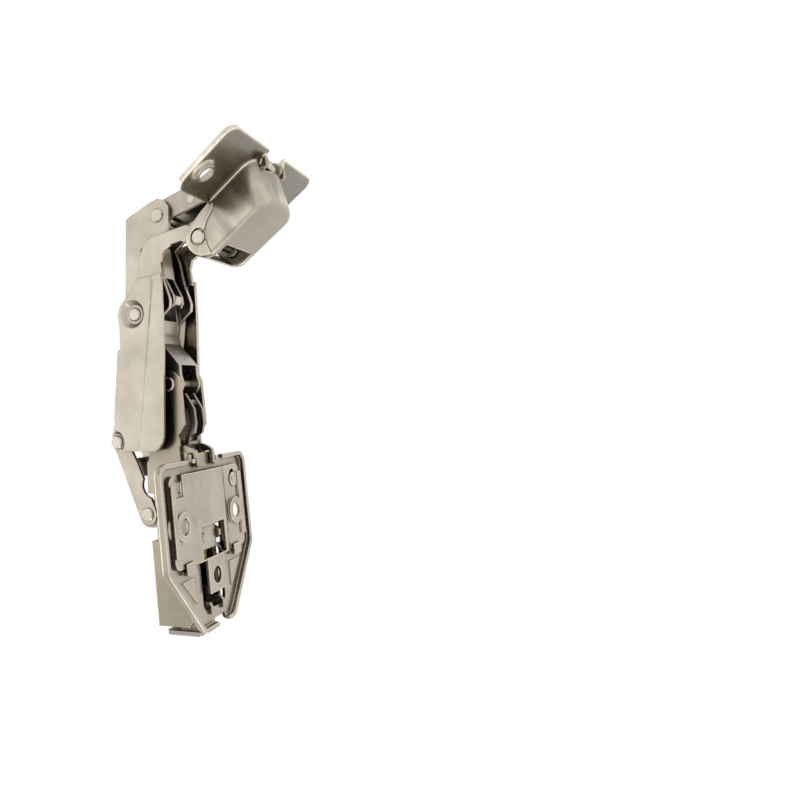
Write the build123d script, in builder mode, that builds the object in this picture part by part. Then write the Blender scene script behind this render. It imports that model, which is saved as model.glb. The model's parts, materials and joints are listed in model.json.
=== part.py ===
from build123d import *
import math
import os

# Wide-angle concealed cup hinge, clipped on its cabinet plate and folded fully open.
# Frame: z = 0 is the cabinet side that the plate is screwed to, +Z points away from it, +X runs
# from the release lever towards the cup, and Y is the direction of every pivot pin.
# The origin lies midway between the plate's two screw holes. All sizes are in millimetres.

# ---------------------------------------------------------------- driving dimensions
# Pivots with the hinge fully open, as (x, z) places in the side view.
base_front_pivot = (41.5, 7.0)
base_rear_pivot = (2.4, 18.7)
link_pivot = (25.3, 27.0)
middle_pivot = (64.4, 16.1)
cup_pivot = (82.9, -10.4)
front_link_pivot = (94.1, 5.6)

# Fits.
pin_fit = 0.05
slip_fit = 0.2
open_pivot_fit = 0.4

# Sheet thicknesses.
arm_sheet = 1.2
cup_sheet = 1.1
plate_sheet = 1.2
lower_plate_sheet = 1.0

# Half widths over the outside of each nested channel.
base_half = 7.0
carrier_half = 5.6
lever_half = 4.2
bracket_half = 5.6
bracket_seat_half = 5.8
channel_half = 7.0
cup_link_half = 5.5
outer_arm_half = 10.0
panel_flare = 1.0
cup_half = 10.9

# Cup: s runs along the flange from its front edge to its rear edge, n points out of the mouth.
flange_front = (92.1, -14.4)
flange_direction = (0.525, -0.851)
mouth_direction = (0.851, 0.525)
cup_front_s = -12.8
cup_depth = 12.9
bore_radius = 17.5
bore_centre_s = 3.0
mouth_rear_s = bore_centre_s + bore_radius - 0.2
flange_length = 22.4
flange_half = 28.3
flange_sheet = 1.5
flange_corner = 3.8
flange_hole_pitch = 48.0
flange_hole_s = 7.8
flange_hole = 4.4
link_seat_s = 18.0

# Pins.
pin_radius = 1.6
seat_pin_radius = 1.5
rivet_head = 2.15
rivet_head_height = 0.7

# Mounting plate.
plate_half = 26.1
plate_front = 18.4
plate_rear = -31.6
plate_top = 3.1
plate_rim_bottom = 0.4
screw_pitch = 32.0
screw_hole = 4.9
third_hole_x = -16.8
third_hole = 5.0

# Adjusters.
height_travel = 1.5
cam_x = 11.6
cam_y = 16.7
cam_throw = 1.732
depth_throw = 2.15
depth_screw_x = -17.5
side_screw_x = -25.0
tilt_pivot = (-10.2, 7.5)

os.makedirs("parts", exist_ok=True)


# ---------------------------------------------------------------- shared forms
def finish(name, piece):
    """Labels a finished piece and writes it under the same name."""
    piece.label = name
    export_step(piece, f"parts/{name}.step")


def along(start, end, forward, sideways):
    """The point that lies forward of start towards end, and sideways to the left of that line."""
    run = math.dist(start, end)
    ux, uz = (end[0] - start[0]) / run, (end[1] - start[1]) / run
    return (start[0] + forward * ux - sideways * uz, start[1] + forward * uz + sideways * ux)


def pivot_axis(pivot):
    """The pin axis through a side-view pivot."""
    return Axis((pivot[0], 0, pivot[1]), (0, 1, 0))


def cross_pin(pivot, half_span, radius, head_radius, head_height):
    """A pin across the hinge with a low rivet head outside each wall."""
    with BuildPart() as pin:
        with BuildSketch(Plane.XZ):
            with Locations(pivot):
                Circle(radius)
        extrude(amount=half_span, both=True)
        if head_height > 0:
            with BuildSketch(Plane.XZ.offset(half_span), Plane.XZ.offset(-half_span - head_height)):
                with Locations(pivot):
                    Circle(head_radius)
            extrude(amount=head_height)
        ends = pin.edges().filter_by(GeomType.CIRCLE).group_by(Axis.Y)
        chamfer(ends[0] + ends[-1], max(0.25, head_height * 0.55))
    return pin.part


def rivet_pair(pivot, inner, outer, radius, head_radius, head_height):
    """Two short rivets, one in each wall of a channel, with heads on the outside."""
    with BuildPart() as rivets:
        with BuildSketch(Plane.XZ.offset(inner)):
            with Locations(pivot):
                Circle(radius)
        extrude(amount=outer - inner)
        if head_height > 0:
            with BuildSketch(Plane.XZ.offset(outer)):
                with Locations(pivot):
                    Circle(head_radius)
            extrude(amount=head_height)
            chamfer(rivets.edges().filter_by(GeomType.CIRCLE).sort_by(Axis.Y)[0], head_height * 0.55)
        mirror(about=Plane.XZ)
    return rivets.part


def pressed_dish(pivot, outer_face, depth, rim_radius, floor_radius, sheet, hole_radius):
    """The conical dish that brings one wall of a channel in to meet its neighbour at a pin."""
    x, z = pivot
    face = outer_face - depth
    with BuildPart() as dish:
        with BuildSketch(Plane((x, 0, z), x_dir=(1, 0, 0), z_dir=(0, 0, 1))):
            with BuildLine():
                Polyline(
                    (hole_radius, -face),
                    (floor_radius, -face),
                    (rim_radius, -outer_face),
                    (rim_radius, -outer_face + sheet),
                    (floor_radius, -face + sheet),
                    (hole_radius, -face + sheet),
                    close=True,
                )
            make_face()
        revolve(axis=pivot_axis(pivot))
        mirror(about=Plane.XZ)
    return dish.part


def side_holes(pivot, radius, reach):
    """A drill through both walls at a pivot, to be cut from a channel."""
    with BuildPart() as drill:
        with BuildSketch(Plane.XZ):
            with Locations(pivot):
                Circle(radius)
        extrude(amount=reach, both=True)
    return drill.part


# ---------------------------------------------------------------- lower mounting plate
lower_half = 21.5
lower_front = 14.6
lower_rear = -11.5
lower_floor = 0.8
lower_tongue_half = 5.0
lower_tongue_rear = -21.4
collar_radius = 4.2
lug_window_half = 7.2
field_half = 8.6
field_ramp = 2.4
field_floor = 0.05
edge_bead = 2.2

with BuildPart() as lower_plate:
    with BuildSketch(Plane.XY.offset(lower_floor)):
        with Locations(((lower_front + lower_rear) / 2, 0)):
            RectangleRounded(lower_front - lower_rear, 2 * lower_half, 2.5)
    extrude(amount=lower_plate_sheet)
    # Centre field pressed towards the cabinet side, between two sloping walls.
    field_top = field_floor + lower_plate_sheet
    with BuildSketch(Plane.YZ.offset(lower_rear)):
        with BuildLine():
            Polyline(
                (field_half + field_ramp, lower_floor),
                (field_half, field_floor),
                (-field_half, field_floor),
                (-field_half - field_ramp, lower_floor),
                close=True,
            )
        make_face()
    extrude(amount=lower_front - lower_rear)
    with BuildSketch(Plane.YZ.offset(lower_rear)):
        with BuildLine():
            Polyline(
                (field_half + field_ramp - 0.4, lower_floor + lower_plate_sheet),
                (field_half - 0.4, field_top),
                (-field_half + 0.4, field_top),
                (-field_half - field_ramp + 0.4, lower_floor + lower_plate_sheet),
                close=True,
            )
        make_face()
    extrude(amount=lower_front - lower_rear, mode=Mode.SUBTRACT)
    with BuildSketch(Plane.XY.offset(field_floor)):
        with Locations(((lower_rear + lower_tongue_rear) / 2 + 1, 0)):
            Rectangle(lower_rear - lower_tongue_rear + 2, 2 * lower_tongue_half)
    extrude(amount=lower_plate_sheet)
    # Side edges turned down towards the cabinet side.
    with BuildSketch(Plane.XY.offset(0.15)):
        with Locations((2.0, lower_half - edge_bead / 2), (2.0, edge_bead / 2 - lower_half)):
            Rectangle(20, edge_bead)
    extrude(amount=lower_floor - 0.15)
    # Screw collars reach down to the cabinet side.
    with BuildSketch():
        with Locations((0, screw_pitch / 2), (0, -screw_pitch / 2)):
            Circle(collar_radius)
    extrude(amount=lower_floor + lower_plate_sheet)
    with Locations((0, screw_pitch / 2, lower_floor + 1), (0, -screw_pitch / 2, lower_floor + 1)):
        CounterSinkHole(screw_hole / 2, screw_hole / 2 + 0.75)
    with BuildSketch():
        with Locations((third_hole_x, 0)):
            Circle(third_hole / 2)
        with Locations((-6.3, 0)):
            Rectangle(9.6, 2 * lug_window_half)
        # Slot that the height cam's off-centre pin works in.
        with Locations((cam_x - cam_throw + 0.45, cam_y)):
            SlotOverall(5.6, 2 * (1.5 + slip_fit + 0.1))
        with Locations((10.6, -15.9)):
            Circle(1.6)
    extrude(amount=4, mode=Mode.SUBTRACT)
finish("lower_plate", lower_plate.part)

# ---------------------------------------------------------------- upper mounting plate
tray_corner = 3.8
taper_start = -11.5
taper_end_half = 12.5
rear_bar_front = -26.2
bridge_front = -1.5
bridge_rear = -9.0
tongue_half = 6.3
tongue_front = 19.8

with BuildPart() as upper_plate:
    with BuildSketch(Plane.XY.offset(plate_rim_bottom)) as tray_outline:
        with BuildLine():
            Polyline(
                (plate_front, -plate_half),
                (plate_front, plate_half),
                (taper_start, plate_half),
                (plate_rear, taper_end_half - 3),
                (plate_rear, -taper_end_half + 3),
                (taper_start, -plate_half),
                close=True,
            )
        make_face()
        fillet(tray_outline.vertices(), tray_corner)
    extrude(amount=plate_top - plate_rim_bottom)
    fillet(upper_plate.faces().sort_by(Axis.Z)[-1].edges(), 1.4)
    offset(amount=-plate_sheet, openings=upper_plate.faces().sort_by(Axis.Z)[0])
    # The tongue that the arm's front hooks grip.
    with BuildSketch(Plane.XY.offset(plate_top - plate_sheet)):
        with Locations(((tongue_front + 12.4) / 2, 0)):
            Rectangle(tongue_front - 12.4, 2 * tongue_half)
    extrude(amount=plate_sheet)
    # Rim cut away under the hooks.
    with BuildSketch():
        with Locations((plate_front, 0)):
            Rectangle(6, 2 * tongue_half)
    extrude(amount=plate_top - plate_sheet, mode=Mode.SUBTRACT)
    with BuildSketch():
        # Centre opening and the rear opening behind the cross bridge.
        with Locations(((bridge_front + 14.2) / 2, 0)):
            RectangleRounded(14.2 - bridge_front, 10.0, 1.0)
        with Locations(((bridge_rear + rear_bar_front) / 2, 0)):
            RectangleRounded(bridge_rear - rear_bar_front, 14.0, 2.5)
        # Slots for the arm's lugs.
        with Locations((-5.4, 6.3), (-5.4, -6.3)):
            Rectangle(6.2, 4.2)
        # Windows round the screw collars.
        with Locations((0, screw_pitch / 2), (0, -screw_pitch / 2)):
            SlotOverall(9.5 + 2 * height_travel, 9.0, rotation=90)
        with Locations((cam_x, cam_y)):
            Circle(2.5 + pin_fit)
        with Locations((10.6, -15.9)):
            Circle(2.5)
        # Edge notches beside the tongue.
        with Locations((plate_front, 9.4), (plate_front, -9.4)):
            Rectangle(2.4, 3.0)
    extrude(amount=6, mode=Mode.SUBTRACT)
    # Triangular pressings with a lifted tab in front of each.
    with BuildSketch(Plane.XY.offset(plate_top - 0.45)):
        with BuildLine():
            Polyline((-14.6, 10.4), (-14.6, 19.0), (-24.0, 10.4), close=True)
        make_face()
        mirror(about=Plane.XZ)
    extrude(amount=2, mode=Mode.SUBTRACT)
    with BuildSketch(Plane.XY.offset(plate_top - plate_sheet)):
        with BuildLine():
            Polyline((-15.2, 11.0), (-15.2, 18.0), (-22.6, 11.0), close=True)
        make_face()
        mirror(about=Plane.XZ)
    extrude(amount=-0.45)
    with BuildSketch(Plane.XY.offset(plate_top - 0.2)):
        with Locations((-12.6, 14.5), (-12.6, -14.5)):
            Rectangle(2.2, 4.6)
    extrude(amount=1.0)
    # Guide hooks bent down behind the lower plate and under its rear edge.
    with BuildSketch(Plane.XZ.offset(12.4), Plane.XZ.offset(-16.8)):
        with BuildLine():
            Polyline(
                (-13.4, plate_top - plate_sheet + 0.2),
                (-12.3, plate_top - plate_sheet + 0.2),
                (-12.3, 0.6),
                (-10.2, 0.6),
                (-10.2, 0.1),
                (-13.4, 0.1),
                close=True,
            )
        make_face()
    extrude(amount=4.4)
    # Two dimples on the rear cross bar.
    with BuildSketch(Plane.XY.offset(plate_top - 0.1)):
        with Locations((-29.0, 4.5), (-29.0, -4.5)):
            Circle(1.2)
    extrude(amount=0.4)
finish("upper_plate", upper_plate.part)

# ---------------------------------------------------------------- height cam
with BuildPart() as height_cam:
    with BuildSketch(Plane.XY.offset(plate_top)):
        with Locations((cam_x, cam_y)):
            Circle(4.7)
    extrude(amount=1.3)
    chamfer(height_cam.faces().sort_by(Axis.Z)[-1].edges(), 0.4)
    with BuildSketch(Plane.XY.offset(plate_top + 1.3)):
        with Locations((cam_x, cam_y)):
            Rectangle(5.2, 1.2)
            Rectangle(1.2, 5.2)
    extrude(amount=-1.0, mode=Mode.SUBTRACT)
    with BuildSketch(Plane.XY.offset(plate_top)):
        with Locations((cam_x, cam_y)):
            Circle(2.5)
    extrude(amount=-plate_sheet - 0.05)
    with BuildSketch(Plane.XY.offset(plate_top - plate_sheet - 0.05)):
        with Locations((cam_x - cam_throw, cam_y)):
            Circle(1.5)
    extrude(amount=-1.4)
finish("height_cam", height_cam.part)

# ---------------------------------------------------------------- clip carrier
carrier_front = 21.8
carrier_rear = -29.0
carrier_floor = 3.4
carrier_web_top = 15.2
carrier_nose_top = 11.8
ear_radius = 3.3
hook_rivet_place = (19.4, 5.0)

with BuildPart() as clip_carrier:
    with BuildSketch(Plane.XZ):
        with BuildLine():
            Polyline(
                (carrier_rear, carrier_web_top),
                (-6.0, carrier_web_top),
                (-4.5, carrier_nose_top),
                (17.6, carrier_nose_top),
                (20.8, 7.4),
                (carrier_front, 5.0),
                (carrier_front, 2.2),
                (20.6, 0.6),
                (19.9, 0.4),
                (16.4, 0.4),
                (15.8, 1.0),
                (16.3, 1.6),
                (19.5, 1.6),
                (20.1, 2.2),
                (20.1, carrier_floor),
                (-2.6, carrier_floor),
                (-3.2, 1.9),
                (-4.2, 0.8),
                (-6.0, 0.8),
                (-6.8, 1.8),
                (-6.8, carrier_floor),
                (-22.0, carrier_floor),
                (-22.6, 6.2),
                (carrier_rear, 6.6),
                close=True,
            )
        make_face()
        # Round ear at the front rivet, with the mouth that the plate's tongue slides into.
        with Locations((19.2, 4.6)):
            Circle(ear_radius)
        with Locations((16.2, (carrier_floor + 1.6) / 2)):
            Rectangle(7.8, carrier_floor - 1.6, mode=Mode.SUBTRACT)
    extrude(amount=carrier_half, both=True)
    with BuildSketch(Plane.XZ):
        with BuildLine():
            Polyline(
                (carrier_rear - 1, carrier_web_top - arm_sheet),
                (-6.0, carrier_web_top - arm_sheet),
                (-6.0, carrier_web_top + 1),
                (carrier_front + 1, carrier_web_top + 1),
                (carrier_front + 1, -1),
                (carrier_rear - 1, -1),
                close=True,
            )
        make_face()
    extrude(amount=carrier_half - arm_sheet, both=True, mode=Mode.SUBTRACT)
    web_edges = clip_carrier.edges().filter_by(Axis.X).group_by(Axis.Z)[-1]
    fillet(web_edges, 1.0)
    # Slots that let the side-adjustment rivets run for the depth adjustment.
    with BuildSketch(Plane.XZ):
        with Locations(tilt_pivot):
            SlotCenterToCenter(3.5, 2 * (1.9 + pin_fit))
    extrude(amount=carrier_half + 1, both=True, mode=Mode.SUBTRACT)
    # Slot across the web for the depth screw's off-centre pin, and the seat of the side screw.
    with BuildSketch(Plane.XY.offset(carrier_web_top + 1)):
        with Locations((depth_screw_x, 1.2)):
            SlotOverall(7.0, 2 * (1.0 + slip_fit + 0.1), rotation=90)
        with Locations((side_screw_x, 0)):
            SlotOverall(6.4, 2.6)
    extrude(amount=-3, mode=Mode.SUBTRACT)
    add(side_holes(hook_rivet_place, 1.2, 8), mode=Mode.SUBTRACT)
    add(side_holes((-24.5, 9.6), 1.5 + pin_fit, 8), mode=Mode.SUBTRACT)
finish("clip_carrier", clip_carrier.part)

hook_rivets = rivet_pair(hook_rivet_place, carrier_half - arm_sheet, carrier_half, 1.2 - pin_fit, 1.4, 0.15)
finish("hook_rivets", hook_rivets)

# ---------------------------------------------------------------- release lever and its spring
lever_pivot = (-24.5, 9.6)
lever_pin_radius = 1.5
lever_sheet = 1.1
thumb_rear = -33.7

with BuildPart() as release_lever:
    with BuildSketch(Plane.XZ):
        with BuildLine():
            Polyline(
                (-20.6, 12.4),
                (thumb_rear + 0.6, 12.4),
                (thumb_rear + 0.6, 6.4),
                (-27.6, 6.4),
                (-26.0, 4.6),
                (-26.0, 1.7),
                (-27.6, 1.5),
                (-27.2, 0.9),
                (-25.2, 0.9),
                (-24.2, 1.7),
                (-23.6, 4.6),
                (-21.0, 7.2),
                close=True,
            )
        make_face()
    extrude(amount=lever_half, both=True)
    with BuildSketch(Plane.XZ):
        with Locations((-26, 8)):
            Rectangle(30, 20)
    extrude(amount=lever_half - lever_sheet, both=True, mode=Mode.SUBTRACT)
    # Thumb plate across the back, with a grip of fine ribs.
    with BuildSketch(Plane.YZ.offset(thumb_rear)):
        with Locations((0, 10.5)):
            RectangleRounded(11.4, 12.0, 1.0)
    extrude(amount=lever_sheet)
    with BuildSketch(Plane.YZ.offset(thumb_rear)):
        with GridLocations(0, 1.1, 1, 10):
            with Locations((0, 10.5)):
                Rectangle(11.0, 0.45)
    extrude(amount=-0.3)
    add(side_holes(lever_pivot, lever_pin_radius + pin_fit, 8), mode=Mode.SUBTRACT)
finish("release_lever", release_lever.part)

lever_pin = cross_pin(lever_pivot, carrier_half, lever_pin_radius, lever_pin_radius, 0)
finish("lever_pin", lever_pin)

# Closed coil round the lever's pin, with one leg under the carrier's web.
with BuildPart() as lever_spring:
    with BuildSketch(Plane.XZ.offset(2.4)):
        with Locations(lever_pivot):
            Circle(2.5)
            Circle(1.7, mode=Mode.SUBTRACT)
    extrude(amount=-4.8)
    for groove in (-1.5, 0.1, 1.7):
        with BuildSketch(Plane.XZ.offset(groove)):
            with Locations(lever_pivot):
                Circle(2.6)
                Circle(2.25, mode=Mode.SUBTRACT)
        extrude(amount=-0.2, mode=Mode.SUBTRACT)
    with BuildSketch(Plane.YZ.offset(lever_pivot[0])):
        with Locations((2.0, lever_pivot[1] + 2.1)):
            Circle(0.4)
    extrude(amount=8.0)
finish("lever_spring", lever_spring.part)

# ---------------------------------------------------------------- base arm
base_rear = -31.0
base_web_front = -6.0
base_web_top = 19.2
base_ear_radius = 4.1
lug_radius = 4.2
lug_relief = 3.6
lug_bottom = 12.6
lug_half = base_half - arm_sheet

with BuildPart() as base_arm:
    with BuildSketch(Plane.XZ):
        with BuildLine():
            Polyline(
                (base_rear, base_web_top),
                (base_web_front, base_web_top),
                (base_web_front, 15.9),
                (8.6, 15.9),
                (8.9, 18.1),
                (18.2, 17.4),
                (19.2, 16.5),
                (21.4, 16.4),
                along(base_front_pivot, (21.4, 16.4), 0.5, -base_ear_radius),
                (base_front_pivot[0], base_front_pivot[1]),
                (base_front_pivot[0], base_front_pivot[1] - base_ear_radius),
                (28.7, 2.8),
                (25.3, 5.4),
                (-2.7, 4.6),
                (-8.6, 3.8),
                (-27.0, 3.8),
                (base_rear, 7.6),
                close=True,
            )
        make_face()
        with Locations(base_front_pivot):
            Circle(base_ear_radius)
    extrude(amount=base_half, both=True)
    with BuildSketch(Plane.XZ):
        with BuildLine():
            Polyline(
                (base_rear - 1, base_web_top - arm_sheet),
                (base_web_front, base_web_top - arm_sheet),
                (base_web_front, base_web_top + 1),
                (60, base_web_top + 1),
                (60, 0),
                (base_rear - 1, 0),
                close=True,
            )
        make_face()
    extrude(amount=base_half - arm_sheet, both=True, mode=Mode.SUBTRACT)
    fillet(base_arm.edges().filter_by(Axis.X).group_by(Axis.Z)[-1], 1.6)
    # Lugs stepped inward round the rear link's pin.
    with BuildSketch(Plane.XZ):
        with Locations(base_rear_pivot):
            Circle(lug_relief)
    extrude(amount=base_half + 1, both=True, mode=Mode.SUBTRACT)
    with BuildSketch(Plane.XZ.offset(lug_half - arm_sheet), Plane.XZ.offset(-lug_half)):
        with Locations(base_rear_pivot):
            Circle(lug_radius)
        with Locations((base_rear_pivot[0], (base_rear_pivot[1] + lug_bottom) / 2)):
            Rectangle(2 * lug_radius, base_rear_pivot[1] - lug_bottom)
    extrude(amount=arm_sheet)
    add(side_holes(base_front_pivot, pin_radius + pin_fit, 10), mode=Mode.SUBTRACT)
    add(side_holes(base_rear_pivot, pin_radius + pin_fit, 10), mode=Mode.SUBTRACT)
    add(side_holes(tilt_pivot, 1.9 + pin_fit, 10), mode=Mode.SUBTRACT)
    with BuildSketch(Plane.XY.offset(base_web_top)):
        with Locations((depth_screw_x, 0)):
            Circle(2.2 + pin_fit)
        with Locations((side_screw_x, 0)):
            Circle(2.4 + pin_fit)
    extrude(amount=-3, mode=Mode.SUBTRACT)
finish("base_arm", base_arm.part)

tilt_rivets = rivet_pair(tilt_pivot, carrier_half - arm_sheet, base_half, 1.9, 1.9, 0)
finish("tilt_rivets", tilt_rivets)

# ---------------------------------------------------------------- adjusting screws in the base arm
with BuildPart() as depth_screw:
    with BuildSketch(Plane.XY.offset(base_web_top)):
        with Locations((depth_screw_x, 0)):
            Circle(3.2)
    extrude(amount=1.1)
    chamfer(depth_screw.faces().sort_by(Axis.Z)[-1].edges(), 0.35)
    with BuildSketch(Plane.XY.offset(base_web_top + 1.1)):
        with Locations((depth_screw_x, 0)):
            Rectangle(4.2, 1.0)
            Rectangle(1.0, 4.2)
    extrude(amount=-0.9, mode=Mode.SUBTRACT)
    with BuildSketch(Plane.XY.offset(base_web_top)):
        with Locations((depth_screw_x, 0)):
            Circle(2.2)
    extrude(amount=-arm_sheet - 0.3)
    with BuildSketch(Plane.XY.offset(base_web_top - arm_sheet - 0.3)):
        with Locations((depth_screw_x, 0)):
            Circle(3.6)
    extrude(amount=-1.2)
    with BuildSketch(Plane.XY.offset(base_web_top - arm_sheet - 1.5)):
        with Locations((depth_screw_x, depth_throw)):
            Circle(1.0)
    extrude(amount=-2.3)
finish("depth_screw", depth_screw.part)

with BuildPart() as side_screw:
    with BuildSketch(Plane.XY.offset(base_web_top + 0.1)):
        with Locations((side_screw_x, 0)):
            Circle(2.4)
    extrude(amount=-3.6)
    with BuildSketch(Plane.XY.offset(base_web_top + 0.1)):
        with Locations((side_screw_x, 0)):
            Rectangle(3.2, 0.8)
            Rectangle(0.8, 3.2)
    extrude(amount=-1.2, mode=Mode.SUBTRACT)
    with BuildSketch(Plane.XY.offset(carrier_web_top + 0.6)):
        with Locations((side_screw_x, 0)):
            Circle(1.0)
    extrude(amount=-1.8)
finish("side_screw", side_screw.part)

# ---------------------------------------------------------------- damper
damper_half = 4.1
damper_bottom = 4.6
damper_top = 11.0
damper_rear = -12.6
damper_front = 13.6
damper_axis_z = 7.8
damper_rod_radius = 1.2
fork_rear = 22.6
fork_half = 2.9
fork_sheet = 1.0

with BuildPart() as damper_body:
    with BuildSketch(Plane.YZ.offset(damper_rear)):
        with Locations((0, (damper_bottom + damper_top) / 2)):
            RectangleRounded(2 * damper_half - 0.6, damper_top - damper_bottom - 0.4, 1.8)
    extrude(amount=damper_front - damper_rear - 6.8)
    with BuildSketch(Plane.YZ.offset(damper_front - 6.8)):
        with Locations((0, (damper_bottom + damper_top) / 2)):
            RectangleRounded(2 * damper_half, damper_top - damper_bottom, 0.8)
    extrude(amount=6.8)
    with BuildSketch(Plane.YZ.offset(damper_front)):
        with Locations((0, damper_axis_z)):
            Circle(2.1)
    extrude(amount=-22.0, mode=Mode.SUBTRACT)
finish("damper_body", damper_body.part)

with BuildPart() as damper_plunger:
    with BuildSketch(Plane.YZ.offset(damper_front - 8.0)):
        with Locations((0, damper_axis_z)):
            Circle(2.0)
    extrude(amount=2.5)
    with BuildSketch(Plane.YZ.offset(damper_front - 6.0)):
        with Locations((0, damper_axis_z)):
            Circle(damper_rod_radius)
    extrude(amount=16.5)
    # Push fork: two curved side plates between the plate on the rod and the plate that the inner
    # arm's heel bears on in the last part of the closing.
    with BuildSketch(Plane.XZ.offset(fork_half - fork_sheet), Plane.XZ.offset(-fork_half)):
        with BuildLine():
            Polyline(
                (36.6, 5.9),
                (38.3, 3.9),
                (33.4, 1.3),
                (28.8, 1.1),
                (26.0, 1.9),
                (24.8, 3.6),
                (fork_rear, 4.4),
                (fork_rear, 6.4),
                (25.3, 4.9),
                (28.4, 3.4),
                (32.8, 3.6),
                close=True,
            )
        make_face()
    extrude(amount=fork_sheet)
    with BuildSketch(Plane.XZ):
        with Locations((fork_rear + fork_sheet / 2, 6.7)):
            Rectangle(fork_sheet, 5.0)
        with Locations((35.5, 5.4)):
            Rectangle(1.4, 4.4)
    extrude(amount=fork_half, both=True)
finish("damper_plunger", damper_plunger.part)

# ---------------------------------------------------------------- rear link
rear_link_inner = 6.0
rear_link_outer = rear_link_inner + arm_sheet
rear_link_eye = 3.2
rear_link_tip = 2.7

with BuildPart() as rear_link:
    with BuildSketch(Plane.XZ.offset(rear_link_inner), Plane.XZ.offset(-rear_link_outer)):
        with Locations(base_rear_pivot):
            Circle(rear_link_eye)
        with Locations(link_pivot):
            Circle(rear_link_tip)
        with Locations(along(base_rear_pivot, link_pivot, 16.0, -1.1)):
            Circle(2.0)
        make_hull()
        with Locations(along(base_rear_pivot, link_pivot, 7.2, -5.6)):
            Circle(4.0, mode=Mode.SUBTRACT)
    extrude(amount=arm_sheet)
    # Bridge that joins the two bars along their outer edge.
    with BuildSketch(Plane.XZ):
        with BuildLine():
            Polyline(
                along(base_rear_pivot, link_pivot, 12.4, 1.3),
                along(base_rear_pivot, link_pivot, 18.6, 1.2),
                along(base_rear_pivot, link_pivot, 18.6, 2.3),
                along(base_rear_pivot, link_pivot, 12.4, 2.4),
                close=True,
            )
        make_face()
    extrude(amount=rear_link_outer - 0.2, both=True)
    add(side_holes(base_rear_pivot, pin_radius + pin_fit, 10), mode=Mode.SUBTRACT)
    add(side_holes(link_pivot, pin_radius + pin_fit, 10), mode=Mode.SUBTRACT)
finish("rear_link", rear_link.part)

# ---------------------------------------------------------------- outer arm
crease_start = (22.2, 18.2)
crease_end = (75.1, 7.7)
panel_run = 1.5
middle_boss_rim = 4.5
middle_boss_floor = 3.0
link_boss_rim = 3.9
link_boss_floor = 2.7
upper_arm_half = 9.5
outer_web_start = (32.6, 26.5)
outer_web_end = (53.4, 22.9)
cup_eye_radius = 3.0
wall_face = outer_arm_half
panel_face = outer_arm_half + panel_flare

with BuildPart() as outer_arm:
    # Walls with an outward step below the crease.
    crease_plane = Plane(
        origin=(crease_start[0], 0, crease_start[1]),
        x_dir=(0, 1, 0),
        z_dir=(crease_end[0] - crease_start[0], 0, crease_end[1] - crease_start[1]),
    )
    with BuildSketch(crease_plane.offset(-12)):
        with BuildLine():
            Polyline(
                (wall_face - arm_sheet, 24),
                (wall_face, 24),
                (wall_face, 0),
                (panel_face, -panel_run),
                (panel_face, -20),
                (panel_face - arm_sheet, -20),
                (panel_face - arm_sheet, -panel_run),
                (wall_face - arm_sheet, 0),
                close=True,
            )
        make_face()
        mirror(about=Plane.YZ)
    extrude(amount=66.5)
    with BuildSketch(Plane.XZ):
        with Locations(middle_pivot):
            Circle(middle_boss_rim)
        with Locations(link_pivot):
            Circle(link_boss_rim)
    extrude(amount=outer_arm_half + 2, both=True, mode=Mode.SUBTRACT)
    add(pressed_dish(middle_pivot, wall_face, 1.6, middle_boss_rim, middle_boss_floor, arm_sheet, 1))
    add(pressed_dish(link_pivot, wall_face, 1.4, link_boss_rim, link_boss_floor, arm_sheet, 1))
    with BuildSketch(Plane.XZ):
        with BuildLine():
            Polyline(
                (74.9, 13.4),
                (71.5, 14.8),
                (69.3, 18.4),
                (67.4, 20.6),
                (64.7, 21.7),
                (60.7, 21.4),
                (54.2, 21.8),
                (53.4, 22.9),
                (32.6, 26.5),
                (31.2, 26.3),
                (28.9, 27.2),
                (27.6, 28.6),
                (25.3, 29.6),
                (23.4, 28.7),
                (22.6, 26.8),
                (21.6, 13.2),
                (21.7, 11.4),
                (22.5, 9.8),
                (23.9, 8.6),
                (25.6, 8.1),
                (28.0, 7.7),
                (48.7, 5.6),
                (62.5, 4.5),
                (74.9, 3.9),
                close=True,
            )
        make_face()
    extrude(amount=outer_arm_half + 2, both=True, mode=Mode.INTERSECT)
    # Slimmer upper arms that run down into the cup.
    with BuildSketch(Plane.XZ.offset(upper_arm_half - arm_sheet), Plane.XZ.offset(-upper_arm_half)):
        with BuildLine():
            Polyline(
                (73.6, 13.9),
                (78.8, 11.8),
                (81.6, 11.6),
                (84.4, 10.4),
                (86.2, 8.6),
                (86.8, 7.2),
                (87.9, -5.4),
                (85.7, -11.4),
                (80.2, -9.2),
                (83.6, -3.4),
                (83.2, 0.4),
                (81.6, 3.4),
                (78.7, 4.4),
                (73.6, 4.0),
                close=True,
            )
        make_face()
        with Locations(cup_pivot):
            Circle(cup_eye_radius)
    extrude(amount=arm_sheet)
    # Web that joins the walls over the rear half.
    with BuildSketch(Plane.XZ):
        with BuildLine():
            Polyline(
                along(outer_web_start, outer_web_end, 0.0, 0),
                outer_web_end,
                along(outer_web_start, outer_web_end, 21.1, -arm_sheet),
                along(outer_web_start, outer_web_end, 0.0, -arm_sheet),
                close=True,
            )
        make_face()
    extrude(amount=outer_arm_half - 0.2, both=True)
    add(side_holes(middle_pivot, pin_radius + pin_fit, 12), mode=Mode.SUBTRACT)
    add(side_holes(link_pivot, pin_radius + open_pivot_fit, 12), mode=Mode.SUBTRACT)
    add(side_holes(cup_pivot, pin_radius + pin_fit, 12), mode=Mode.SUBTRACT)
finish("outer_arm", outer_arm.part)

# ---------------------------------------------------------------- inner arm: channel and bracket
channel_web_start = (69.9, 20.2)
channel_web_end = (95.1, 17.4)
arm_rivet_place = (71.2, 12.6)
arm_rivet_radius = 1.6
spring_pin_place = (84.0, 11.4)
spring_pin_radius = 1.4

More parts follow.
